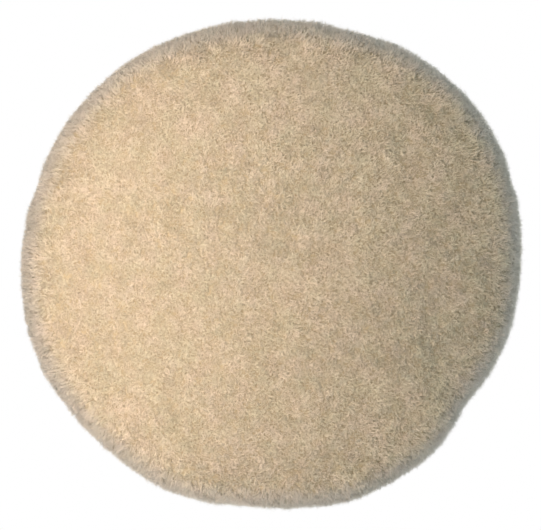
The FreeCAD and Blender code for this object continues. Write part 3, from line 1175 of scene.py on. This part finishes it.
# %% [markdown]
# The loop disc is oversewn by hand or on a whip-stitch machine, so each stitch slants across
# the edge. Thread is two plies twisted together, and each ply is a tube round a helix.

# %% The stitches
STITCH_PITCH = 5 * MM
STITCHES = round(FULL_TURN * LOOP_RADIUS / STITCH_PITCH)
STITCH_INNER = 72.6 * MM
STITCH_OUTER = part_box("edge_stitches")[1].x - 0.3 * MM
STITCH_SLANT = 1.1 * MM
PLY_RADIUS = 0.19 * MM
PLY_OFFSET = 0.13 * MM
PLY_TWIST = 1500
PLY_SIDES = 6


def stitch_paths():
    """The middle line of every stitch, out of the ground, over the edge, into the skin."""
    over = -GROUND_TOP + 0.36 * MM
    corners = np.array(
        [
            (STITCH_INNER, -GROUND_TOP - 0.1 * MM, 0.0),
            (STITCH_INNER + 0.15 * MM, over - 0.1 * MM, 0.03),
            (STITCH_INNER + 0.5 * MM, over, 0.15),
            (STITCH_INNER + 1.3 * MM, over + 0.04 * MM, 0.5),
            (STITCH_OUTER - 0.45 * MM, over, 0.85),
            (STITCH_OUTER - 0.1 * MM, over - 0.15 * MM, 0.97),
            (STITCH_OUTER, -GROUND_UNDER, 1.0),
            (STITCH_OUTER, -SKIN_BACK - 0.05 * MM, 1.0),
        ]
    )
    place = np.linspace(0, len(corners) - 1, 22)
    numbers = range(len(corners))
    radius, height, slant = (np.interp(place, numbers, column) for column in corners.T)
    draw = np.random.default_rng(5)
    middle = np.arange(STITCHES) / STITCHES * FULL_TURN
    middle = middle + draw.normal(0, 0.15 * MM, STITCHES) / LOOP_RADIUS
    slants = STITCH_SLANT * draw.uniform(0.8, 1.2, STITCHES)[:, None]
    angle = middle[:, None] + (slant - 0.5)[None, :] * slants / LOOP_RADIUS
    return place_round(radius, -height, angle), round_at(middle)


def tubes(paths, around, twist_start):
    """Capped tubes that wind round the paths."""
    count, steps, _ = paths.shape
    forward = unit(np.gradient(paths, axis=1))
    first = unit(np.cross(forward, around[:, None, :]))
    second = np.cross(forward, first)
    gone = np.cumsum(np.linalg.norm(np.diff(paths, axis=1), axis=2), 1)
    length = np.concatenate([np.zeros((count, 1)), gone], 1)
    turn = twist_start + PLY_TWIST * length
    ply = paths + PLY_OFFSET * (first * np.cos(turn)[..., None] + second * np.sin(turn)[..., None])
    side = spokes_round(PLY_SIDES)
    ring = first[:, :, None, :] * np.cos(side)[:, None]
    ring = ring + second[:, :, None, :] * np.sin(side)[:, None]
    points = (ply[:, :, None, :] + PLY_RADIUS * ring).reshape(-1, 3)
    here = np.arange(PLY_SIDES)
    following = (here + 1) % PLY_SIDES
    start = np.arange(count)[:, None, None] * steps * PLY_SIDES
    step = np.arange(steps - 1)[None, :, None] * PLY_SIDES
    low, high = start + step + here, start + step + following
    quads = np.stack([low, high, high + PLY_SIDES, low + PLY_SIDES], -1).reshape(-1, 4)
    near = start[:, 0] + here[::-1]
    far = start[:, 0] + (steps - 1) * PLY_SIDES + here
    return points, quads, np.concatenate([near, far])


def make_stitches():
    paths, around = stitch_paths()
    points, quads, caps = tubes(paths, around, 0)
    others, more_quads, more_caps = tubes(paths, around, math.pi)
    shift = len(points)
    faces = [quads, more_quads + shift, caps, more_caps + shift]
    mesh = new_mesh("whip_stitches", np.vstack([points, others]), faces)
    mesh.shade_smooth()
    return new_object("whip_stitches", mesh)


stitches = make_stitches()
print("stitches:", STITCHES)

# %% [markdown]
# The skin is a shell that wraps the cushion and turns in at the back, where it is slit into
# tabs so that it lies flat. Only a narrow ring of it shows outside the stitches, and its
# flesh side closes the well. It is turned like the rest, but the slits are left out of the
# turned faces and walled in.

# %% The sheepskin
TABS = 24
SPOKES_IN_TAB = 12
SLIT_WIDTH = 0.8 * MM
MARGIN_INNER = 60 * MM
SLIT_END = 71 * MM
SUEDE_GRAIN = 0.07 * MM
SUEDE_TURNS = 9000
SUEDE_DEPTH = 0.3 * MM
HIDE_THICKNESS = 1.2 * MM
HIDE_CLEAR = 0.02 * MM
MARGIN_START = 76.4 * MM


def skin_angles():
    """Spoke angles, with a pair of them on the two sides of every slit."""
    tab = FULL_TURN / TABS
    half = SLIT_WIDTH / 2 / MARGIN_INNER
    spread = np.linspace(half, tab - half, SPOKES_IN_TAB - 1)
    return np.concatenate([[tab * k - half, *(tab * k + spread[:-1])] for k in range(TABS)])


def shell_section(thickness):
    """(radius, depth) from the front's middle round to the margin, this far inside."""
    heel = (SKIN_RADIUS - SKIN_HEEL, SKIN_BACK + SKIN_HEEL)
    shoulder = (SKIN_RADIUS - SKIN_SHOULDER, SKIN_FRONT - SKIN_SHOULDER)
    front, back = SKIN_FRONT - thickness, SKIN_BACK + thickness
    points = stretch((SKIN_HUB, front), (shoulder[0], front), 12)
    points += arc(shoulder, SKIN_SHOULDER - thickness, QUARTER, 0, 9)
    points += arc(heel, SKIN_HEEL - thickness, 0, -QUARTER, 7)
    points += stretch((MARGIN_START, back), (SLIT_END, back), 8)
    return points, stretch((SLIT_END, back), (MARGIN_INNER, back), 6) + [(MARGIN_INNER, back)]


def make_skin():
    angle = skin_angles()
    spokes = len(angle)
    outer, outer_tabs = shell_section(HIDE_CLEAR)
    inner, inner_tabs = shell_section(HIDE_THICKNESS)
    rows = outer + outer_tabs + inner_tabs[::-1] + inner[::-1]
    radius, depth = (np.array(rows)[:, k, None] + 0 * angle for k in range(2))
    spread = SUEDE_TURNS * radius
    grain = SUEDE_GRAIN * ripple(spread * np.cos(angle), spread * np.sin(angle), 31)
    shown = (depth < SKIN_BACK + SUEDE_DEPTH) & (radius > SLIT_END)
    depth = depth + grain * shown
    points = place_round(radius, depth, angle).reshape(-1, 3)
    first, count = len(outer), len(outer_tabs)

    def mirror(row):
        """The row on the flesh side that lies under this one."""
        return 2 * (first + count) - 1 - row

    faces = grid_faces(len(rows), spokes).reshape(len(rows) - 1, spokes, 4)
    slit = np.arange(TABS) * (spokes // TABS)
    keep = np.ones((len(rows) - 1, spokes), bool)
    keep[first : first + 2 * count - 1, slit] = False
    walls = []
    for row in range(first, first + count - 1):
        for spoke in slit:
            a, b = row * spokes, (row + 1) * spokes
            c, d = mirror(row + 1) * spokes, mirror(row) * spokes
            walls.append((a + spoke, d + spoke, c + spoke, b + spoke))
            walls.append((a + spoke + 1, b + spoke + 1, c + spoke + 1, d + spoke + 1))
    for spoke in slit:
        a, d = first * spokes, mirror(first) * spokes
        walls.append((a + spoke, a + spoke + 1, d + spoke + 1, d + spoke))
    hubs = np.array([[0, thickness - SKIN_FRONT, 0] for thickness in (HIDE_CLEAR, HIDE_THICKNESS)])
    hub = len(points)
    fans = [fan(hub, 0, spokes), fan(hub + 1, hub - spokes, spokes, turned_over=True)]
    faces = [faces[keep].reshape(-1, 4), np.array(walls), *fans]
    mesh = new_mesh("skin_shell", np.vstack([points, hubs]), faces)
    tidy_normals(mesh)
    mesh.shade_smooth()
    return new_object("skin_shell", mesh)


def tidy_normals(mesh):
    """Turn every face of a closed mesh outward."""
    work = bmesh.new()
    work.from_mesh(mesh)
    bmesh.ops.recalc_face_normals(work, faces=work.faces)
    work.to_mesh(mesh)
    work.free()


skin = make_skin()
print("tabs:", TABS)

# %% [markdown]
# The foam shows only down the well in the middle. Open-cell foam that has been cut shows
# pores: pits of about a millimetre with thin walls between. Each point of the well's side
# sinks the more, the farther it is from the wall between two cells.

# %% The foam
FOAM_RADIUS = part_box("foam_cushion")[1].x
FOAM_FRONT = -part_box("foam_cushion")[0].y
FOAM_BACK = -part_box("foam_cushion")[1].y
FOAM_SHOULDER = 8 * MM
PORE_SPACING = 0.9 * MM
PORE_DEPTH = 0.35 * MM
PORE_WALL = 0.6 * PORE_SPACING
PORE_EDGE = 0.2 * MM


def pore_pits(first, second):
    """How deep the pores are, from 0 to 1, at these two coordinates in metres."""
    draw = np.random.default_rng(14)
    wide, tall = first.max() - first.min(), second.max() - second.min()
    count = int(wide * tall / PORE_SPACING**2) + 1
    spots = (draw.uniform(part.min(), part.max(), count) for part in (first, second))
    centres = np.stack(list(spots), -1)
    places = np.stack([first.ravel(), second.ravel()], -1)
    away = np.linalg.norm(places[:, None, :] - centres[None, :, :], axis=2)
    nearest = np.partition(away, 1, axis=1)[:, :2]
    return smooth((nearest[:, 1] - nearest[:, 0]) / PORE_WALL).reshape(first.shape)


def foam_relief(radius, depth, angle):
    wall = np.abs(radius - WELL_RADIUS) < 0.01 * MM
    rows = wall.any(axis=1)
    pits = np.zeros_like(radius)
    pits[rows] = pore_pits(WELL_RADIUS * angle[rows], depth[rows])
    inside = (depth > FOAM_BACK + PORE_EDGE) & (depth < FOAM_FRONT - PORE_EDGE)
    return PORE_DEPTH * pits * wall * inside, 0 * depth


def make_foam():
    centre = (FOAM_RADIUS - FOAM_SHOULDER, FOAM_FRONT - FOAM_SHOULDER)
    section = stretch((WELL_RADIUS, FOAM_FRONT), (centre[0], FOAM_FRONT), 6)
    section += arc(centre, FOAM_SHOULDER, QUARTER, 0, 8)
    section += [(FOAM_RADIUS, FOAM_BACK)]
    section += stretch((centre[0], FOAM_BACK), (WELL_RADIUS, FOAM_BACK), 4)
    section += stretch((WELL_RADIUS, FOAM_BACK), (WELL_RADIUS, FOAM_FRONT), 50)
    return turned("foam_core", section, 400, foam_relief)


foam = make_foam()
print("foam faces:", len(foam.data.polygons))

# %% [markdown]
# ## The finishes of the back
#
# The record gives each material slot a base colour. Every finish here starts from it, and a
# noise takes it a little lighter and darker, with a bump of the right size for the stuff.

# %% Materials for the back
MATERIALS = frame["record"]["materials"]
SLOT_COLOURS = {entry["slot"]: tuple(entry["base_color"]) for entry in MATERIALS}
# Painted shade: shares of the loop colour for the tangle between the loops.
MAT_SHADE_DARK, MAT_SHADE_LIGHT = 0.48, 0.75


GRAIN_DETAIL = 4.0
GRAIN_STRENGTH = 0.6
# For each slot: blobs to a metre, share lighter or darker, roughness, and bump depth in mm.
GRAINS = {
    "hide": (900, 0.16, 0.85, 0.08),
    "adhesive": (300, 0.15, 0.35, 0.05),
    "foam": (1200, 0.25, 0.8, 0.1),
    "board": (700, 0.12, 0.6, 0.03),
    "felt": (1500, 0.2, 0.95, 0.12),
    "ring": (2500, 0.1, 0.42, 0.015),
    "loop_ground": (1800, 0.12, 0.85, 0.05),
    "loop_pile": (1400, 0.12, 0.6, 0.04),
    "thread": (3000, 0.08, 0.6, 0.03),
}


def plain_finish(slot, scale, spread, roughness, depth):
    """The slot's colour, varied by this share either way, with a fine bump."""
    finish = Finish(slot + "_finish")
    grain = finish.noise(scale, detail=GRAIN_DETAIL, roughness=0.6)
    base = SLOT_COLOURS[slot]
    darker = tuple(value * (1 - spread) for value in base)
    lighter = tuple(min(value * (1 + spread), 1) for value in base)
    colour = finish.mix(grain, darker, lighter)
    relief = finish.noise(scale * 2.5, detail=GRAIN_DETAIL)
    relief = finish.bump(relief, depth * MM, GRAIN_STRENGTH)
    return finish.surface({"Base Color": colour, "Roughness": roughness, "Normal": relief})


def mat_finish():
    """The loop pile's own colour, darkened with painted shade for the tangle between the loops."""
    finish = Finish("loop_mat_finish")
    shade = finish.noise(2200, detail=4.0)
    base = SLOT_COLOURS["loop_pile"]
    deep = tuple(value * MAT_SHADE_DARK for value in base)
    light = tuple(value * MAT_SHADE_LIGHT for value in base)
    relief = finish.bump(finish.noise(5200, detail=4.0), 0.12 * MM)
    inputs = {"Base Color": finish.mix(shade, deep, light), "Roughness": 0.9, "Normal": relief}
    return finish.surface(inputs)


FINISHES = {"loop_mat": mat_finish()}
for slot, grain in GRAINS.items():
    FINISHES[slot] = plain_finish(slot, *grain)
KEPT_NODES = {
    "cover_glue": "adhesive",
    "board_glue": "adhesive",
    "loop_glue": "adhesive",
    "backing_board": "board",
    "felt_filler": "felt",
    "centring_ring": "ring",
}
for node, slot in KEPT_NODES.items():
    mesh = frame["nodes"][node].data
    mesh.materials.clear()
    mesh.materials.append(FINISHES[slot])
BACK_PIECES = (
    (loop_ground, "loop_ground", "loop_ground", "loop_ground"),
    (loop_mat, "loop_pile", "loop_pile", "loop_mat"),
    (loop_pieces[0], "loop_pile", "loop_pile", "loop_pile"),
    (loop_pieces[1], "loop_pile", "loop_pile", "loop_pile"),
    (stitches, "edge_stitches", "thread", "thread"),
    (skin, "sheepskin_hide", "hide", "hide"),
    (foam, "foam_cushion", "foam", "foam"),
)
for piece, node, slot, finish in BACK_PIECES:
    piece.data.materials.append(FINISHES[finish])
    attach(piece, "root")
    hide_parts(node)
print("back pieces:", len(BACK_PIECES), "and CAD nodes with a finish:", len(KEPT_NODES))

# %% [markdown]
# ## What rides where
#
# Nothing on the pad moves by itself, so every piece belongs to the one body.

# %% Riding and replacing
for piece in (wool_bed, *wool_pieces):
    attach(piece, "root")
    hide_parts("wool_pile")
